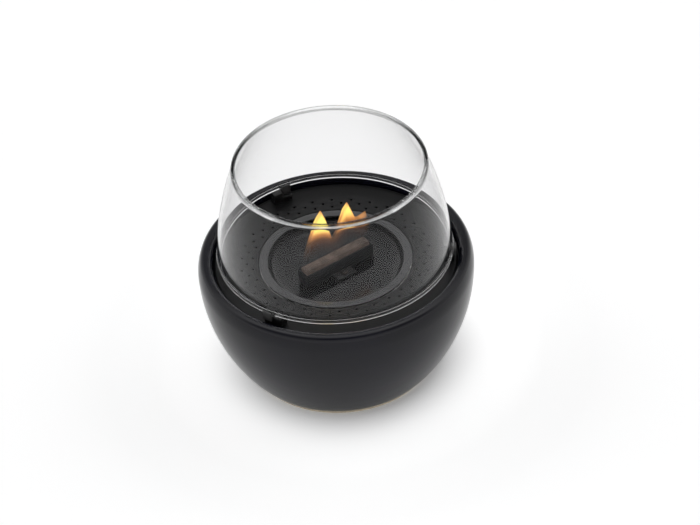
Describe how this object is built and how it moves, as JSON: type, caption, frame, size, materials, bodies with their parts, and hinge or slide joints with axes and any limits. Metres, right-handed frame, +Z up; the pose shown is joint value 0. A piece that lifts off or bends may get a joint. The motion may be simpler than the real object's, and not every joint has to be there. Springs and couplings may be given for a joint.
{
  "type": "tabletop bioethanol fireplace",
  "caption": "Black glazed bowl with a sunken perforated burner tray, an upright slab wick in a dished burner, and an open clear glass chimney on small grips.",
  "frame": {"origin": "middle of the base, on the surface that the felt ring rests on", "axes": "+Z up along the bowl's axis, +Y away from the picture's camera, +X to its right"},
  "size_m": [0.22, 0.22, 0.1937],
  "materials": {
    "glazed_stoneware": "glossy black glaze over stoneware",
    "cream_felt": "dense needled felt",
    "black_powder_coat": "fine satin powder coat on sheet steel",
    "black_bracket": "satin black coat on solid steel",
    "grey_silicone": "matt heat-proof silicone",
    "stainless_steel": "plain drawn stainless steel",
    "black_silicone": "matt heat-proof silicone",
    "ceramic_wool": "loose ceramic fibre",
    "wick_board": "stiff ceramic fibre board, brown and sooty from burning",
    "borosilicate_glass": "clear, fire-polished edges"
  },
  "bodies": {
    "base": {"bowl": "glazed_stoneware", "felt_base_ring": "cream_felt", "rest_pad_1": "black_silicone", "rest_pad_2": "black_silicone", "rest_pad_3": "black_silicone"},
    "tray_insert": {"burner_tray": "black_powder_coat", "glass_support_1": "black_bracket", "glass_support_2": "black_bracket", "glass_support_3": "black_bracket", "glass_grip_1": "grey_silicone", "glass_grip_2": "grey_silicone", "glass_grip_3": "grey_silicone", "support_screw_1": "stainless_steel", "support_screw_2": "stainless_steel", "support_screw_3": "stainless_steel"},
    "glass": {"glass_chimney": "borosilicate_glass"},
    "burner": {"fuel_can": "stainless_steel", "can_gasket": "black_silicone", "burner_dish": "black_powder_coat", "wick_holder": "black_powder_coat", "absorbent_wool": "ceramic_wool", "wick_screw_1": "stainless_steel", "wick_screw_2": "stainless_steel", "wick_nut_1": "stainless_steel", "wick_nut_2": "stainless_steel"},
    "wick": {"wick_slab": "wick_board"}
  },
  "joints": [
    {"name": "tray_lift", "type": "slide", "parent": "base", "child": "tray_insert", "axis": [0, 0, 1], "range_m": [0, 0.085]},
    {"name": "glass_lift", "type": "slide", "parent": "tray_insert", "child": "glass", "axis": [0, 0, 1], "range_m": [0, 0.12]},
    {"name": "burner_lift", "type": "slide", "parent": "tray_insert", "child": "burner", "axis": [0, 0, 1], "range_m": [0, 0.075]},
    {"name": "wick_lift", "type": "slide", "parent": "burner", "child": "wick", "axis": [0, 0, 1], "range_m": [0, 0.072]}
  ]
}
